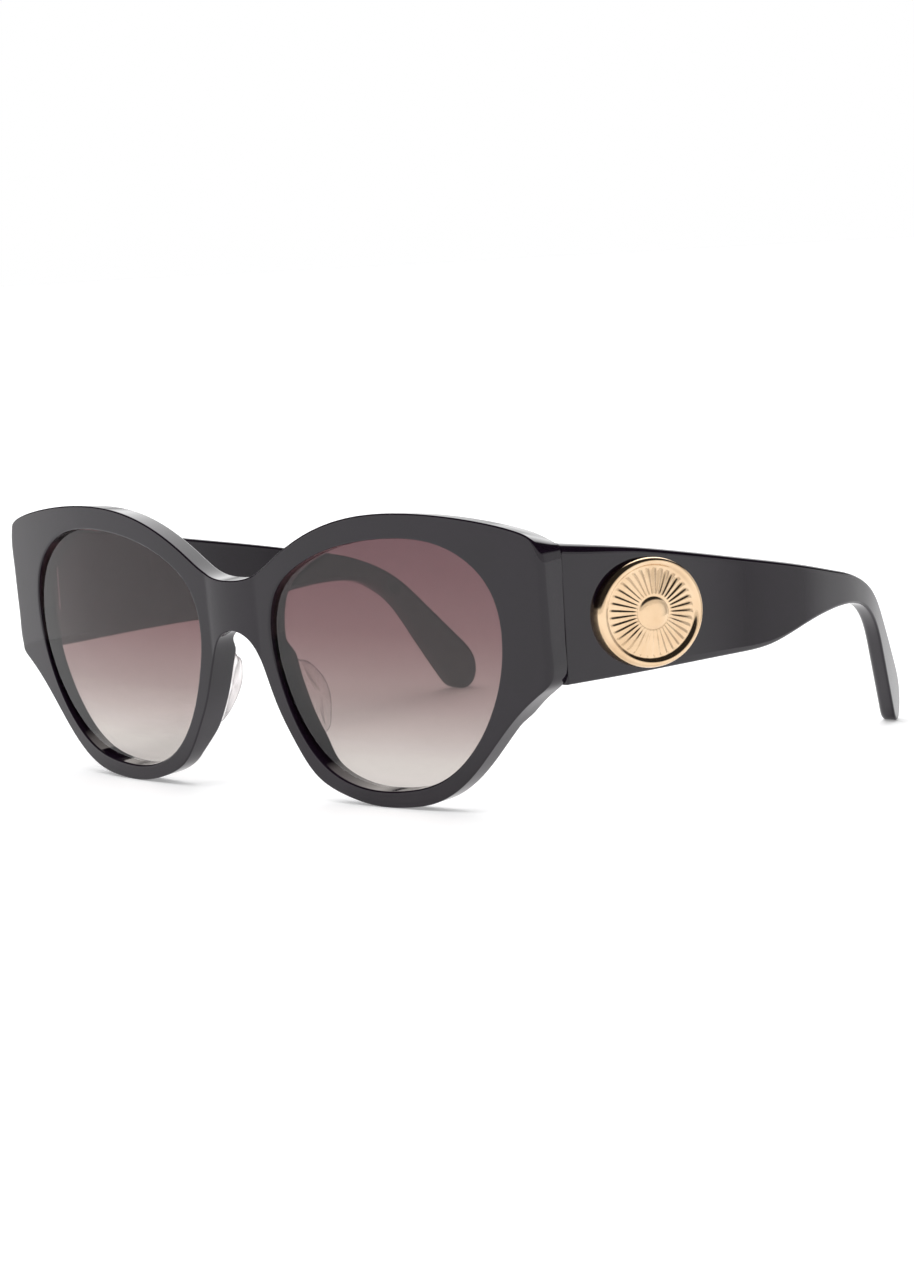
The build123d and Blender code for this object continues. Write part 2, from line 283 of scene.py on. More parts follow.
def front_y(x):
    """The face of the front: bent, with a swelling in the middle of the bridge."""
    x = np.asarray(x, float)
    radius = (BRIDGE_HALF**2 + BRIDGE_SWELL**2) / (2 * BRIDGE_SWELL)
    swelling = np.sqrt(radius**2 - np.clip(x, -BRIDGE_HALF, BRIDGE_HALF)**2) - (radius - BRIDGE_SWELL)
    return FRONT_RADIUS - np.sqrt(FRONT_RADIUS**2 - x**2) - np.maximum(swelling, 0)


def back_y(x, z):
    """The back of the front: bent, thicker at the nose and flat at the joints."""
    x, z = np.asarray(x, float), np.asarray(z, float)
    y = FRONT_RADIUS - np.sqrt((FRONT_RADIUS - FRONT_THICKNESS)**2 - x**2)
    nose = smoothstep(*BASE_UPPER, z) * smoothstep(*BASE_LOWER, z) * smoothstep(*BASE_SIDE, x)
    y = y + nose * (BASE_DEPTH - y)
    joint = (JOINT_Y + (z - LEAN_HEIGHT) * math.sin(LEAN)) / math.cos(LEAN)
    high = smoothstep(*BLOCK_BLEND, z)
    begin, full = (low + (top - low) * high for low, top in zip(BLOCK_LOW, BLOCK_HIGH))
    return y + smoothstep(begin, full, x) * (joint - y)


def back_drop(x, z):
    """How much lower the top is at the back of the front than at its face."""
    fall = TOP_FALL * smoothstep(*TOP_FALL_X, x) + CORNER_FALL * smoothstep(*CORNER_FALL_X, x)
    return smoothstep(*TOP_ZONE, z) * fall


OUTER = Smooth(OUTLINE, start=(1, 0), end=(-1, 0))
outer_points, outer_dirs = OUTER.at(OUTER.spaced(OUTER_STATIONS))
outer_points[0], outer_points[-1] = OUTLINE[0], OUTLINE[-1]
outer_normals = np.column_stack([-outer_dirs[:, 1], outer_dirs[:, 0]])
outer_normals[0], outer_normals[-1] = (0, 1), (0, -1)

INNER = Smooth(OPENING, closed=True)
inner_points, inner_dirs = INNER.at(np.linspace(0, INNER.t[-1], 2000))
inner_normals = np.column_stack([-inner_dirs[:, 1], inner_dirs[:, 0]])     # away from the material
inner_angles = np.arctan2(inner_points[:, 1] - LENS_CENTRE[1], inner_points[:, 0] - LENS_CENTRE[0])


def opening_at(angles, grow=0.0):
    """Points of the lens opening at some angles from its middle, moved outward by grow."""
    order = np.argsort(inner_angles)
    a = inner_angles[order]
    a = np.concatenate([a - 2 * math.pi, a, a + 2 * math.pi])
    wrapped = (np.asarray(angles) + math.pi) % (2 * math.pi) - math.pi
    outward = np.sign(np.sum(inner_normals * (inner_points - LENS_CENTRE), axis=1))
    away = inner_normals * outward[:, None]
    out = []
    for k in range(2):
        values = np.tile((inner_points + away * grow)[order, k], 3)
        out.append(np.interp(wrapped, a, values))
    return np.column_stack(out)


def ring_ends(outline, rounding):
    """Outer ends of the face rows all round one half, with the bridge's middle line."""
    walled = outline - outer_normals * rounding[:, None]
    middle = np.linspace(walled[-1], walled[0], BRIDGE_STATIONS + 1)[1:-1]
    return np.vstack([walled, middle])


def even_angles(ends):
    """The directions of the spokes that join the outline to the lens opening, evenly spread."""
    a = np.unwrap(np.arctan2(ends[:, 1] - LENS_CENTRE[1], ends[:, 0] - LENS_CENTRE[0]))
    turn = np.sign(a[-1] - a[0]) * 2 * math.pi
    for _ in range(EVENING_PASSES):
        before = np.concatenate([[a[-1] - turn], a[:-1]])
        after = np.concatenate([a[1:], [a[0] + turn]])
        a = 0.5 * a + 0.25 * (before + after)
    return a


def arc_steps(count):
    """Angles of a quarter turn, for a rounded edge."""
    return np.linspace(0, math.pi / 2, count + 1)


def front_half():
    """Half of the front, open along the bridge's middle, where the mirrored half meets it."""
    x, z = outer_points[:, 0], outer_points[:, 1]
    at_joint = smoothstep(*END_X, x) * smoothstep(*END_Z, z)
    at_side = smoothstep(*SIDE_X, x) * smoothstep(*SIDE_Z, z)
    front_round = EDGE_ROUNDING + (SIDE_ROUNDING - EDGE_ROUNDING) * at_side
    back_round = BACK_ROUNDING + (END_ROUNDING - BACK_ROUNDING) * at_joint
    far_points = outer_points - np.column_stack([0 * x, back_drop(x, z)])

    front_ends = ring_ends(outer_points, front_round)
    back_ends = ring_ends(far_points, back_round)
    angles = even_angles(front_ends)
    lip, back_lip = LIP_ROUNDING, BACK_LIP_ROUNDING
    patch = Patchwork()

    def place(points, y):
        return np.column_stack([points[:, 0], y, points[:, 1]])

    # round the outside, from the front face over the edge to the back face
    rows = []
    for a in arc_steps(ROUND_ROWS):
        p = outer_points - outer_normals * (front_round * (1 - math.sin(a)))[:, None]
        rows.append(place(p, front_y(p[:, 0]) + front_round * (1 - math.cos(a))))
    last = rows[-1]
    first_back = place(far_points, back_y(far_points[:, 0], far_points[:, 1]) - back_round)
    for k in range(1, WALL_ROWS):
        rows.append(last + (first_back - last) * k / WALL_ROWS)
    for a in arc_steps(ROUND_ROWS):
        p = far_points - outer_normals * (back_round * (1 - math.cos(a)))[:, None]
        rows.append(place(p, back_y(p[:, 0], p[:, 1]) - back_round * (1 - math.sin(a))))
    patch.rows(rows)

    # front face, opening wall and back face, all the way round the lens
    ring = []
    for s in np.linspace(0, 1, FACE_ROWS + 1):
        p = front_ends * (1 - s) + opening_at(angles, lip) * s
        ring.append(place(p, front_y(p[:, 0])))
    for a in arc_steps(ROUND_ROWS)[1:]:
        p = opening_at(angles, lip * (1 - math.sin(a)))
        ring.append(place(p, front_y(p[:, 0]) + lip * (1 - math.cos(a))))
    edge = opening_at(angles)
    top = front_y(edge[:, 0]) + lip
    foot = back_y(edge[:, 0], edge[:, 1]) - back_lip
    for k in range(1, WALL_ROWS + 1):
        ring.append(place(edge, top + (foot - top) * k / WALL_ROWS))
    for a in arc_steps(ROUND_ROWS)[1:]:
        p = opening_at(angles, back_lip * (1 - math.cos(a)))
        ring.append(place(p, back_y(p[:, 0], p[:, 1]) - back_lip * (1 - math.sin(a))))
    for s in np.linspace(0, 1, FACE_ROWS + 1)[1:]:
        p = opening_at(angles, back_lip) * (1 - s) + back_ends * s
        ring.append(place(p, back_y(p[:, 0], p[:, 1])))
    patch.rows(ring, closed=True)
    return patch


def cutter(xs, ys, zs):
    """A box for cutting a pocket."""
    corners = [(x, y, z) for x in xs for y in ys for z in zs]
    faces = [(0, 1, 3, 2), (4, 6, 7, 5), (0, 4, 5, 1), (2, 3, 7, 6), (0, 2, 6, 4), (1, 5, 7, 3)]
    mesh = bpy.data.meshes.new("cutter")
    mesh.from_pydata([tuple(p) for p in to_frame(corners, lean=False)], [], faces)
    tidy_mesh(mesh)
    obj = bpy.data.objects.new("cutter", mesh)
    bpy.context.scene.collection.objects.link(obj)
    return obj


def make_front():
    half = front_half()
    obj = half.plus(half.mirrored()).make("front_shell")
    deep = (JOINT_Y - POCKET_DEPTH, JOINT_Y + POCKET_CLEAR)
    tall = (HINGE[2] - POCKET_HALF_HEIGHT, HINGE[2] + POCKET_HALF_HEIGHT)
    for side in (1, -1):
        box = cutter(sorted(side * x for x in POCKET_X), deep, tall)
        add_modifier(obj, "BOOLEAN", operation="DIFFERENCE", object=box, solver="EXACT")
        apply_modifiers(obj, sharp=35.0)
        bpy.data.objects.remove(box)
    add_modifier(obj, "WEIGHTED_NORMAL", keep_sharp=True)
    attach(obj, "front")
    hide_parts("front_frame")
    return obj


# ---------------------------------------------------------------- lenses

LENS_STATIONS = 160
LENS_BITE = 0.5              # how far the lens reaches into its groove


def lens_pane():
    """A bowl-shaped pane, turned to follow the bend of the front."""
    turn = math.asin(LENS_CENTRE[0] / FRONT_RADIUS)
    reach = FRONT_RADIUS - LENS_SET_BACK
    cx = reach * math.sin(turn) - LENS_RADIUS * math.sin(turn - LENS_TURN)
    cy = FRONT_RADIUS - reach * math.cos(turn) + LENS_RADIUS * math.cos(turn - LENS_TURN)
    cz = LENS_CENTRE[1]
    angles = np.linspace(0, 2 * math.pi, LENS_STATIONS, endpoint=False)
    edge = opening_at(angles, LENS_BITE)

    def layer(radius, share):
        p = np.array(LENS_CENTRE) + (edge - LENS_CENTRE) * share
        y = cy - np.sqrt(radius**2 - (p[:, 0] - cx)**2 - (p[:, 1] - cz)**2)
        return np.column_stack([p[:, 0], y, p[:, 1]])

    shares = np.linspace(0.04, 1, 24)
    front = [layer(LENS_RADIUS, s) for s in shares]
    back = [layer(LENS_RADIUS - LENS_THICKNESS, s) for s in shares[::-1]]
    patch = Patchwork()
    patch.rows(front + back, closed=True)
    patch.fan(front[0], layer(LENS_RADIUS, 0)[0])
    patch.fan(back[-1], layer(LENS_RADIUS - LENS_THICKNESS, 0)[0])
    return patch


# ---------------------------------------------------------------- clear nose pads

PAD_FOOT = [(6.4, 25.7), (7.3, 23.4), (8.2, 21.3), (9.15, 19.2), (10.1, 17.2), (11.2, 15.1),
            (12.4, 13.1), (13.6, 12.2), (14.1, 13.2), (13.3, 15.4), (12.2, 18.2), (11.3, 21.0),
            (10.5, 24.0), (9.2, 26.1), (7.6, 26.7)]
PAD_RIM = [(8.1, 24.9), (8.3, 22.8), (8.8, 20.7), (9.7, 18.6), (10.9, 16.4), (12.2, 14.4),
           (13.5, 12.8), (14.6, 12.1), (15.2, 12.8), (15.3, 15.1), (15.1, 17.7), (14.6, 20.2),
           (13.5, 22.5), (11.9, 24.3), (9.9, 25.4)]
PAD_STATIONS, PAD_SIDE_ROWS, PAD_ROUND_ROWS, PAD_FACE_ROWS = 72, 9, 6, 7
PAD_SUNK = 0.05              # how far the pad's foot sits in the black base
PAD_PEAK, PAD_MIDDLE = 9.5, 20.0
PAD_FALL, PAD_FALL_REACH = 1.3, 7.5
PAD_ROUNDING = 0.75
PAD_SHRINK = 0.26            # how much of the way to its middle the rounding takes
PAD_CROWN, PAD_TIP = 0.12, 0.15


def clear_pad():
    foot_curve, rim_curve = Smooth(PAD_FOOT, closed=True), Smooth(PAD_RIM, closed=True)
    knots = np.arange(len(PAD_FOOT) + 1)
    places = np.linspace(0, len(PAD_FOOT), PAD_STATIONS, endpoint=False)
    foot = foot_curve.at(np.interp(places, knots, foot_curve.t))[0]
    rim = rim_curve.at(np.interp(places, knots, rim_curve.t))[0]
    middle = rim.mean(axis=0)

    def depth_of(z):
        """The pad stands out most in its middle."""
        return PAD_PEAK - PAD_FALL * ((z - PAD_MIDDLE) / PAD_FALL_REACH)**2

    rows = []
    rim_depth = depth_of(rim[:, 1])
    for s in np.linspace(0, 1, PAD_SIDE_ROWS):
        p = foot + (rim - foot) * smoothstep(-0.35, 1.0, s) if s else foot
        y = (BASE_DEPTH - PAD_SUNK) * (1 - s) + (rim_depth - PAD_ROUNDING) * s
        rows.append(np.column_stack([p[:, 0], y, p[:, 1]]))
    for a in arc_steps(PAD_ROUND_ROWS)[1:]:
        p = rim + (middle - rim) * PAD_SHRINK * (1 - math.cos(a))
        y = rim_depth - PAD_ROUNDING * (1 - math.sin(a))
        rows.append(np.column_stack([p[:, 0], y, p[:, 1]]))
    inner = rows[-1]
    centre = inner.mean(axis=0)
    for s in np.linspace(0, 1, PAD_FACE_ROWS)[1:-1]:
        p = inner + (centre - inner) * s
        p[:, 1] = inner[:, 1] * (1 - s) + (PAD_PEAK + PAD_CROWN) * s
        rows.append(p)
    patch = Patchwork()
    patch.rows(rows, closed=True)
    patch.fan(rows[-1], (centre[0], PAD_PEAK + PAD_TIP, centre[2]))
    patch.fan(rows[0], rows[0].mean(axis=0))
    return patch


# ---------------------------------------------------------------- temples

TEMPLE_STATIONS = 190
TEMPLE_BEND = 6.0            # how much closer the stations are where the edge bends
EAR_ZONE = (86, 108)         # y where the arm turns into the ear piece
HINGE_ZONE = (32, 12)        # y where the top edge is rounder, towards the joint
LOW_ROUND, TOP_ROUND, HINGE_ROUND, EAR_ROUND = 0.5, 1.0, 1.9, 0.55
INNER_ROUND, INNER_EAR_ROUND = 0.8, 1.0
END_BEVEL = 0.12             # the broken edge of the joint end
END_SHRINK = (0.93, 1, 0.988)

PLAN = Smooth(TEMPLE_PLAN)
plan_line = PLAN.at(np.linspace(0, PLAN.t[-1], 3000))[0]


def outer_x(y):
    """The temple's outer face, seen from above."""
    return np.interp(y, plan_line[:, 0], plan_line[:, 1])


def temple_arm():
    curve = Smooth(TEMPLE_EDGE)
    dense = np.linspace(0, curve.t[-1], 6000)
    behind_joint = curve.at(dense)[0][:, 0] >= JOINT_Y + JOINT_GAP + END_BEVEL
    first_t, last_t = dense[behind_joint][0], dense[behind_joint][-1]
    apex_t = curve.t[TEMPLE_APEX]
    top, top_dir = curve.at(curve.spaced(TEMPLE_STATIONS, first_t, apex_t, TEMPLE_BEND))
    low, low_dir = curve.at(curve.spaced(TEMPLE_STATIONS, apex_t, last_t, TEMPLE_BEND))

    # one strip along the edge, from the joint's top round the tip to the joint's bottom
    edge = np.vstack([top, low[1:]])
    along = np.vstack([top_dir, low_dir[1:]])
    normals = np.column_stack([-along[:, 1], along[:, 0]])
    ear = smoothstep(*EAR_ZONE, edge[:, 0])
    near = smoothstep(*HINGE_ZONE, edge[:, 0])
    upper = smoothstep(0, 1, np.linspace(2, -2, len(edge)) + 0.5)
    top_round = TOP_ROUND + (HINGE_ROUND - TOP_ROUND) * near
    outer_round = (LOW_ROUND + (top_round - LOW_ROUND) * upper) * (1 - ear) + EAR_ROUND * ear
    inner_round = INNER_ROUND + (INNER_EAR_ROUND - INNER_ROUND) * ear
    patch = Patchwork()

    def spot(p, depth):
        return np.column_stack([outer_x(p[:, 0]) - depth, p[:, 0], p[:, 1]])

    strip = []
    for a in arc_steps(ROUND_ROWS):
        p = edge - normals * (outer_round * (1 - math.sin(a)))[:, None]
        strip.append(spot(p, outer_round * (1 - math.cos(a))))
    for s in np.linspace(0, 1, WALL_ROWS + 1)[1:-1]:
        strip.append(spot(edge, outer_round * (1 - s) + (TEMPLE_THICKNESS - inner_round) * s))
    for a in arc_steps(ROUND_ROWS):
        p = edge - normals * (inner_round * (1 - math.cos(a)))[:, None]
        strip.append(spot(p, TEMPLE_THICKNESS - inner_round * (1 - math.sin(a))))
    patch.rows(strip)

    # outer and inner faces, across from the top edge to the bottom edge
    for rounding, depth in ((outer_round, 0.0), (inner_round, TEMPLE_THICKNESS)):
        ends = edge - normals * rounding[:, None]
        upper_end, lower_end = ends[:TEMPLE_STATIONS], ends[TEMPLE_STATIONS - 1:][::-1]
        patch.rows([spot(upper_end * (1 - s) + lower_end * s, depth)
                    for s in np.linspace(0, 1, FACE_ROWS + 1)])

    # the joint end: a narrow broken edge, then flat
    def end_line(rounding, depth):
        corners = edge[[0, -1]] - normals[[0, -1]] * rounding[[0, -1]][:, None]
        return spot(np.linspace(corners[0], corners[1], FACE_ROWS + 1)[1:-1], depth)

    across = [row[0] for row in strip]
    under = [row[-1] for row in strip][::-1]
    loop = np.vstack([across, end_line(inner_round, TEMPLE_THICKNESS), under,
                      end_line(outer_round, 0.0)[::-1]])
    centre = loop.mean(axis=0)
    lifted = centre + (loop - centre) * np.array(END_SHRINK) - np.array([0, END_BEVEL, 0])
    patch.rows([loop, lifted], closed=True)
    patch.fan(lifted, lifted.mean(axis=0))
    return patch


# ---------------------------------------------------------------- medallions

MEDAL_CENTRE = (31.1, 34.6)
MEDAL_HALVES = (13.1, 9.95)
MEDAL_TURN = math.radians(-6.0)
MEDAL_STATIONS = 288
FLUTES, FLUTE_DEPTH = 36, 0.16


def medallion():
    """An oval medallion: a rounded rim, a fluted and domed field, and a boss in its middle.

    The profile gives the share of the way out from the middle, the rise and the share of fluting.
    """
    phi = np.linspace(0, 2 * math.pi, MEDAL_STATIONS, endpoint=False)
    profile = [(1.0, 0.0, 0), (1.0, 0.55, 0), (0.996, 0.95, 0), (0.985, 1.3, 0), (0.966, 1.55, 0),
               (0.94, 1.68, 0), (0.91, 1.7, 0), (0.88, 1.62, 0), (0.86, 1.42, 0), (0.848, 1.2, 0),
               (0.835, 1.1, 0), (0.815, 1.08, 0), (0.8, 1.1, 0.2), (0.78, 1.14, 0.7), (0.75, 1.18, 1),
               (0.68, 1.25, 1), (0.6, 1.31, 1), (0.52, 1.37, 1), (0.44, 1.41, 1), (0.38, 1.43, 0.8),
               (0.34, 1.44, 0.3), (0.32, 1.42, 0), (0.305, 1.36, 0), (0.285, 1.36, 0), (0.27, 1.44, 0),
               (0.24, 1.56, 0), (0.19, 1.64, 0), (0.12, 1.69, 0), (0.05, 1.7, 0)]
    rows = []
    c, s = math.cos(MEDAL_TURN), math.sin(MEDAL_TURN)
    for share, rise, fluted in profile:
        u, v = MEDAL_HALVES[0] * share * np.cos(phi), MEDAL_HALVES[1] * share * np.sin(phi)
        y, z = MEDAL_CENTRE[0] + u * c - v * s, MEDAL_CENTRE[1] + u * s + v * c
        groove = FLUTE_DEPTH * fluted * (0.5 - 0.5 * np.cos(FLUTES * phi))
        rows.append(np.column_stack([outer_x(y) + rise - groove, y, z]))
    patch = Patchwork()
    patch.rows(rows, closed=True)
    patch.fan(rows[-1], rows[-1].mean(axis=0))
    patch.fan(rows[0], rows[0].mean(axis=0))
    return patch


# ---------------------------------------------------------------- materials

def new_material(name):
    material = bpy.data.materials.new(name)
    material.use_nodes = True
    return material, material.node_tree, material.node_tree.nodes["Principled BSDF"]


def node(tree, kind, inputs=None, **settings):
    made = tree.nodes.new("ShaderNode" + kind)
    for key, value in settings.items():
        setattr(made, key, value)
    for key, value in (inputs or {}).items():
        made.inputs[key].default_value = value
    return made


def noise(tree, coords, scale, detail=2.0, roughness=0.5, stretch=(1, 1, 1)):
    mapping = node(tree, "Mapping")
    mapping.inputs["Scale"].default_value = stretch
    tree.links.new(coords.outputs["Object"], mapping.inputs["Vector"])
    made = node(tree, "TexNoise", {"Scale": scale, "Detail": detail, "Roughness": roughness})
    tree.links.new(mapping.outputs["Vector"], made.inputs["Vector"])
    return made


def ramp(tree, source, stops):
    """A colour ramp; a stop's colour may be one number, for a grey."""
    made = node(tree, "ValToRGB")
    elements = made.color_ramp.elements
    while len(elements) < len(stops):
        elements.new(0.5)
    for element, (place, colour) in zip(elements, stops):
        element.position = place
        element.color = (*(colour if isinstance(colour, tuple) else (colour,) * 3), 1.0)
    tree.links.new(source, made.inputs["Fac"])
    return made


def bump(tree, height, strength, distance):
    made = node(tree, "Bump", {"Strength": strength, "Distance": distance})
    tree.links.new(height, made.inputs["Height"])
    return made


def acetate_material():
    """Black cellulose acetate, tumble-polished: a trace of cloud in the black, a faint waviness."""
    material, tree, shader = new_material("black_acetate")
    coords = node(tree, "TexCoord")
    cloud = noise(tree, coords, 90.0, detail=3.0)
    colours = ramp(tree, cloud.outputs["Fac"], [
        (0.3, (0.006, 0.003, 0.007)), (0.7, (0.009, 0.0045, 0.0105))])
    tree.links.new(colours.outputs["Color"], shader.inputs["Base Color"])
    haze = noise(tree, coords, 180.0, detail=1.0)
    rough = ramp(tree, haze.outputs["Fac"], [(0.3, 0.035), (0.7, 0.055)])
    tree.links.new(rough.outputs["Color"], shader.inputs["Roughness"])
    wave = noise(tree, coords, 34.0, detail=1.0, roughness=0.3)
    polish = bump(tree, wave.outputs["Fac"], 0.12, 0.0006)
    tree.links.new(polish.outputs["Normal"], shader.inputs["Normal"])
    shader.inputs["IOR"].default_value = 1.46
    return material


def surface_share(tree, head_on):
    """The share of light a clear surface reflects: head_on where it faces you, all at its edge."""
    facing = node(tree, "LayerWeight", {"Blend": 0.5})
    steep = node(tree, "Math", operation="POWER")
    steep.inputs[1].default_value = 5.0
    tree.links.new(facing.outputs["Facing"], steep.inputs[0])
    share = node(tree, "MapRange", {"To Min": head_on, "To Max": 1.0})
    tree.links.new(steep.outputs["Value"], share.inputs["Value"])
    return share.outputs["Result"]


def mix_into_output(tree, first, second):
    """Puts a mix of two shaders on the surface and gives the socket of its share."""
    mix = node(tree, "MixShader")
    tree.links.new(first.outputs["BSDF"], mix.inputs[1])
    tree.links.new(second.outputs["BSDF"], mix.inputs[2])
    tree.links.new(mix.outputs["Shader"], tree.nodes["Material Output"].inputs["Surface"])
    return mix.inputs["Fac"]


def lens_material():
    """Gradient lens: mauve-brown at the top, almost clear at the bottom, with a reflecting surface."""
    material, tree, shader = new_material("gradient_lens")
    tree.nodes.remove(shader)
    coords = node(tree, "TexCoord")
    split = node(tree, "SeparateXYZ")
    tree.links.new(coords.outputs["Object"], split.inputs["Vector"])
    drift = noise(tree, coords, 22.0, detail=1.0)
    wobble = node(tree, "MapRange", {"To Min": -0.0006, "To Max": 0.0006})
    tree.links.new(drift.outputs["Fac"], wobble.inputs["Value"])
    height = node(tree, "Math", operation="ADD")
    tree.links.new(split.outputs["Z"], height.inputs[0])
    tree.links.new(wobble.outputs["Result"], height.inputs[1])
    span = node(tree, "MapRange", {"From Min": 0.003, "From Max": 0.050})
    tree.links.new(height.outputs["Value"], span.inputs["Value"])
    tint = ramp(tree, span.outputs["Result"], [
        (0.0, (0.765, 0.74, 0.72)), (0.12, (0.69, 0.66, 0.64)), (0.36, (0.50, 0.43, 0.42)),
        (0.62, (0.383, 0.279, 0.284)), (0.82, (0.34, 0.228, 0.24)), (1.0, (0.31, 0.195, 0.212))])
    clear = node(tree, "BsdfTransparent")
    tree.links.new(tint.outputs["Color"], clear.inputs["Color"])
    gloss = node(tree, "BsdfGlossy", {"Roughness": 0.02})
    gloss.inputs["Color"].default_value = (1, 1, 1, 1)
    tree.links.new(surface_share(tree, 0.043), mix_into_output(tree, clear, gloss))
    return material


def pad_material():
    """Clear moulded plastic: see-through face on, glossier where it turns away, and darker there by
    painted shade that stands in for the refraction at its rounded rim.
    """
    material, tree, shader = new_material("clear_pad")
    tree.nodes.remove(shader)
    coords = node(tree, "TexCoord")
    cloud = noise(tree, coords, 260.0)
    rough = ramp(tree, cloud.outputs["Fac"], [(0.3, 0.02), (0.7, 0.06)])
    # painted shade: the see-through colour goes from almost clear to deep grey as the surface turns
    # away from the view, in place of the refraction at the pad's rim
    facing = node(tree, "LayerWeight", {"Blend": 0.5})
    body = ramp(tree, facing.outputs["Facing"], [
        (0.0, (0.985, 0.982, 0.98)), (0.3, (0.95, 0.94, 0.94)), (0.48, (0.7, 0.67, 0.67)),
        (0.7, (0.3, 0.28, 0.28)), (1.0, (0.12, 0.11, 0.11))])
    clear = node(tree, "BsdfTransparent")
    tree.links.new(body.outputs["Color"], clear.inputs["Color"])
    gloss = node(tree, "BsdfGlossy")
    tree.links.new(rough.outputs["Color"], gloss.inputs["Roughness"])
    gloss.inputs["Color"].default_value = (1, 1, 1, 1)
    tree.links.new(surface_share(tree, 0.035), mix_into_output(tree, clear, gloss))
    return material


def metal_material(name, dark, light, rough_low, rough_high, grain, stretch):
    """Metal with faint drawn or plated texture; grain is its fineness and stretch its direction."""
    material, tree, shader = new_material(name)
    coords = node(tree, "TexCoord")
    tone = noise(tree, coords, grain * 0.2, detail=3.0, stretch=stretch)
    colours = ramp(tree, tone.outputs["Fac"], [(0.3, dark), (0.7, light)])
    tree.links.new(colours.outputs["Color"], shader.inputs["Base Color"])
    scratch = noise(tree, coords, grain, detail=4.0, stretch=stretch)
    rough = ramp(tree, scratch.outputs["Fac"], [(0.3, rough_low), (0.7, rough_high)])
    tree.links.new(rough.outputs["Color"], shader.inputs["Roughness"])
    lines = bump(tree, scratch.outputs["Fac"], 0.08, 0.00005)
    tree.links.new(lines.outputs["Normal"], shader.inputs["Normal"])
    shader.inputs["Metallic"].default_value = 1.0
    return material


# ---------------------------------------------------------------- the object

ACETATE = acetate_material()
LENS = lens_material()
PAD = pad_material()
GOLD = metal_material("gold_plate", dark=(0.67, 0.47, 0.29), light=(0.75, 0.56, 0.37),
                      rough_low=0.10, rough_high=0.17, grain=900.0, stretch=(1, 1, 1))
STEEL = metal_material("hinge_steel", dark=(0.50, 0.50, 0.51), light=(0.68, 0.68, 0.69),
                       rough_low=0.22, rough_high=0.38, grain=1400.0, stretch=(1, 1, 6))
WIRE = metal_material("core_wire_steel", dark=(0.45, 0.45, 0.46), light=(0.6, 0.6, 0.61),
                      rough_low=0.3, rough_high=0.45, grain=1200.0, stretch=(1, 5, 1))


def dress(obj, material):
    obj.data.materials.clear()
    obj.data.materials.append(material)


def both_sides(name, patch, material, body, node_name, lean=True, sharp=35.0):
    """Makes a piece and its mirror image, and puts each on its body in place of its CAD node."""
    for side, patch in (("left", patch), ("right", patch.mirrored())):
        obj = patch.make(f"{name}_{side}", lean=lean, sharp=sharp)
        dress(obj, material)
        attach(obj, body.format(side=side))
        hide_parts(f"{node_name}_{side}")


dress(make_front(), ACETATE)
both_sides("lens_pane", lens_pane(), LENS, "front", "lens")
both_sides("clear_pad", clear_pad(), PAD, "front", "nose_pad", sharp=60.0)
both_sides("temple_arm", temple_arm(), ACETATE, "temple_arm_{side}", "temple",
           lean=False, sharp=40.0)
both_sides("medallion", medallion(), GOLD, "temple_arm_{side}", "plaque",
           lean=False, sharp=50.0)

# the CAD pieces that stay visible are all metal
for name, obj in frame["nodes"].items():
    if not obj.hide_render:
        for material_slot in obj.material_slots:
            material_slot.material = WIRE if name.startswith("core_wire") else STEEL


# ---------------------------------------------------------------- studio

FLOOR_RADIUS = 30.0
SOFT_BOX_DIRECTION = (-0.456, 0.649, 0.608)
CAMERA_ANGLES = (43.2626, 7.0409, -3.1195)     # azimuth, elevation and roll, in degrees
CAMERA_PLACE = (430.49, -396.84, 100.04)
CAMERA_SENSOR, CAMERA_LENS = 36.0, 88.08


def make_floor():
    bm = bmesh.new()
    bmesh.ops.create_circle(bm, cap_ends=True, segments=96, radius=FLOOR_RADIUS)
    mesh = bpy.data.meshes.new("floor")
    bm.to_mesh(mesh)
    bm.free()
    obj = bpy.data.objects.new("floor", mesh)
    bpy.context.scene.collection.objects.link(obj)
    material, _, shader = new_material("floor_white")
    shader.inputs["Roughness"].default_value = 0.9
    shader.inputs["Base Color"].default_value = (0.86, 0.86, 0.865, 1)
    shader.inputs["Specular IOR Level"].default_value = 0.1
    shader.inputs["Emission Color"].default_value = (1, 1, 1, 1)
    shader.inputs["Emission Strength"].default_value = 0.3
    dress(obj, material)


def make_world():
    """White round the horizon, a dark ceiling and one soft box high behind the wearer's right."""
    world = bpy.data.worlds.new("studio")
    bpy.context.scene.world = world
    world.use_nodes = True
    tree = world.node_tree
    coords = node(tree, "TexCoord")
    split = node(tree, "SeparateXYZ")
    tree.links.new(coords.outputs["Generated"], split.inputs["Vector"])
    sky = ramp(tree, split.outputs["Z"], [(0.0, 1.0), (0.17, 1.0), (0.25, 0.03), (1.0, 0.03)])
    toward = node(tree, "VectorMath", operation="DOT_PRODUCT")
    toward.inputs[1].default_value = SOFT_BOX_DIRECTION
    tree.links.new(coords.outputs["Generated"], toward.inputs[0])
    box = node(tree, "MapRange", {"From Min": 0.86, "From Max": 0.94, "To Min": 0.0, "To Max": 2.6})
    tree.links.new(toward.outputs["Value"], box.inputs["Value"])
    both = node(tree, "Math", operation="MAXIMUM")
    tree.links.new(sky.outputs["Color"], both.inputs[0])
    tree.links.new(box.outputs["Result"], both.inputs[1])
    tree.links.new(both.outputs["Value"], tree.nodes["Background"].inputs["Color"])


def make_sun():
    """The broad overhead light that whitens the floor; it isn't seen in reflections."""
    data = bpy.data.lights.new("overhead", "SUN")
    data.energy = 2.9
    data.angle = math.radians(75)
    obj = bpy.data.objects.new("overhead", data)
    obj.rotation_euler = (math.radians(8), math.radians(-10), 0)
    obj.visible_glossy = False
    bpy.context.scene.collection.objects.link(obj)


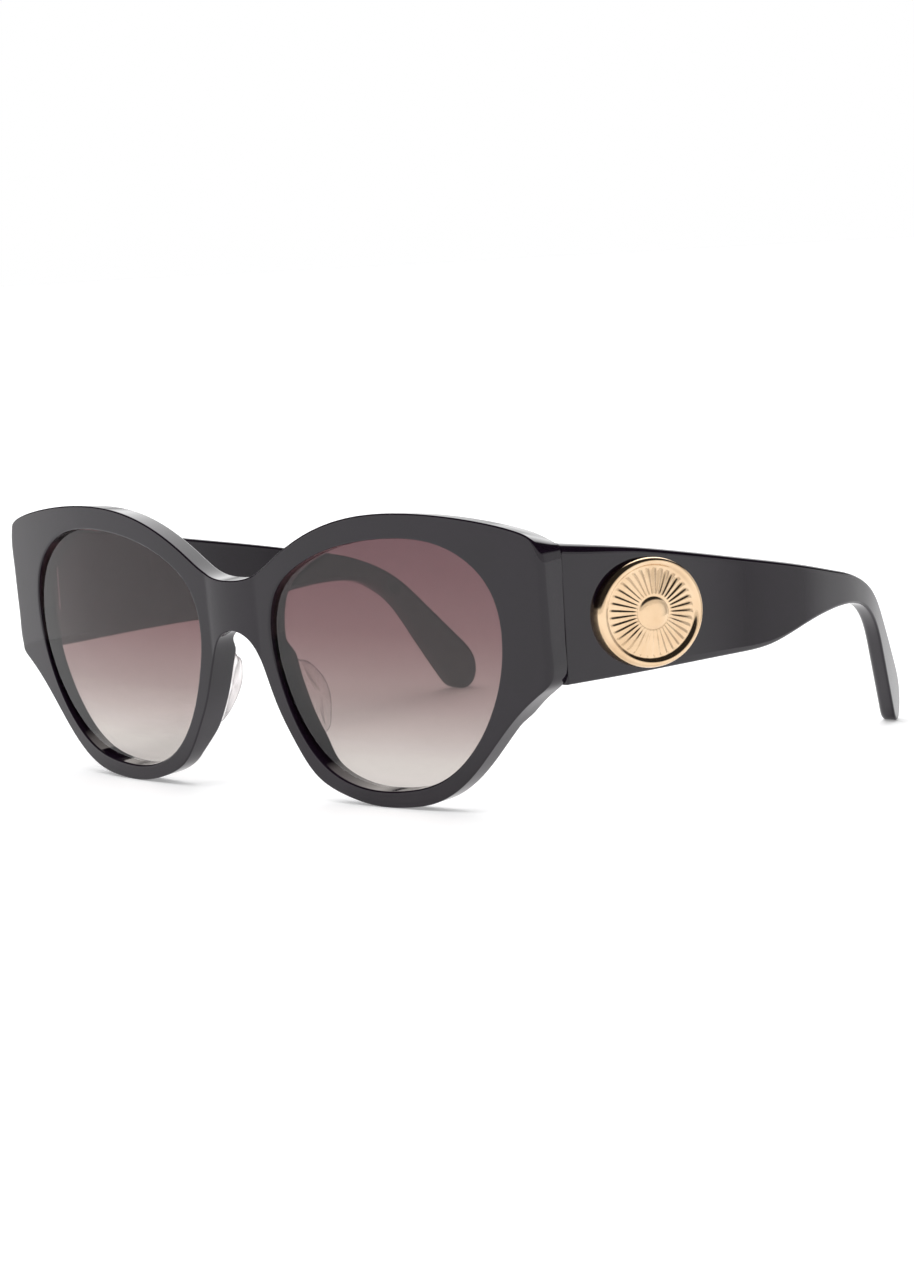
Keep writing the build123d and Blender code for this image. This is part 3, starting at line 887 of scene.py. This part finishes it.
def make_card(name, place, bearing, size, glow, fade):
    """A small upright card that shows only in reflections and fades out at its two ends.

    The bearing, in degrees from straight ahead towards the wearer's right, is where it stands from
    the piece that reflects it. The fade gives the share of its width at each end.
    """
    half, tall = size[0] / 2, size[1]
    mesh = bpy.data.meshes.new(name)
    mesh.from_pydata([(-half, 0, 0), (half, 0, 0), (half, 0, tall), (-half, 0, tall)], [],
                     [(0, 1, 2, 3)])
    obj = bpy.data.objects.new(name, mesh)
    obj.location = place
    obj.rotation_euler = (0, 0, -math.radians(bearing))
    bpy.context.scene.collection.objects.link(obj)
    material, tree, shader = new_material(name + "_glow")
    tree.nodes.remove(shader)
    coords = node(tree, "TexCoord")
    split = node(tree, "SeparateXYZ")
    tree.links.new(coords.outputs["Generated"], split.inputs["Vector"])
    shown = ramp(tree, split.outputs["X"], [
        (0.0, 0.0), (fade[0], 1.0), (1.0 - fade[1], 1.0), (1.0, 0.0)])
    light = node(tree, "Emission", {"Strength": glow})
    light.inputs["Color"].default_value = (1, 1, 1, 1)
    gap = node(tree, "BsdfTransparent")
    mix = node(tree, "MixShader")
    tree.links.new(shown.outputs["Color"], mix.inputs["Fac"])
    tree.links.new(gap.outputs["BSDF"], mix.inputs[1])
    tree.links.new(light.outputs["Emission"], mix.inputs[2])
    tree.links.new(mix.outputs["Shader"], tree.nodes["Material Output"].inputs["Surface"])
    dress(obj, material)
    for ray in ("camera", "diffuse", "transmission", "shadow", "volume_scatter"):
        setattr(obj, "visible_" + ray, False)


def make_camera():
    azimuth, elevation, roll = (math.radians(a) for a in CAMERA_ANGLES)
    back = Vector((math.sin(azimuth) * math.cos(elevation), -math.cos(azimuth) * math.cos(elevation),
                   math.sin(elevation)))
    right = Vector((math.cos(azimuth), math.sin(azimuth), 0))
    up = back.cross(right)
    side = math.cos(roll) * right + math.sin(roll) * up
    top = math.cos(roll) * up - math.sin(roll) * right
    data = bpy.data.cameras.new("camera")
    data.sensor_width, data.lens = CAMERA_SENSOR, CAMERA_LENS
    data.clip_start, data.clip_end = 0.05, 100.0
    obj = bpy.data.objects.new("camera", data)
    place = Vector((np.array(CAMERA_PLACE) + SHIFT) * MM)
    turn = Matrix((side, top, back)).transposed()
    obj.matrix_world = Matrix.Translation(place) @ turn.to_4x4()
    bpy.context.scene.collection.objects.link(obj)
    bpy.context.scene.camera = obj


make_floor()
make_world()
make_sun()
make_card("left_card", place=(-0.215, -0.095, 0), bearing=80.0, size=(0.10, 0.055), glow=1.65,
          fade=(0.01, 0.5))
make_card("back_flag", place=(0.151, 0.131, 0), bearing=210.6, size=(0.13, 0.06), glow=0.68,
          fade=(0.35, 0.35))
make_camera()
bpy.context.scene.view_settings.view_transform = "Standard"
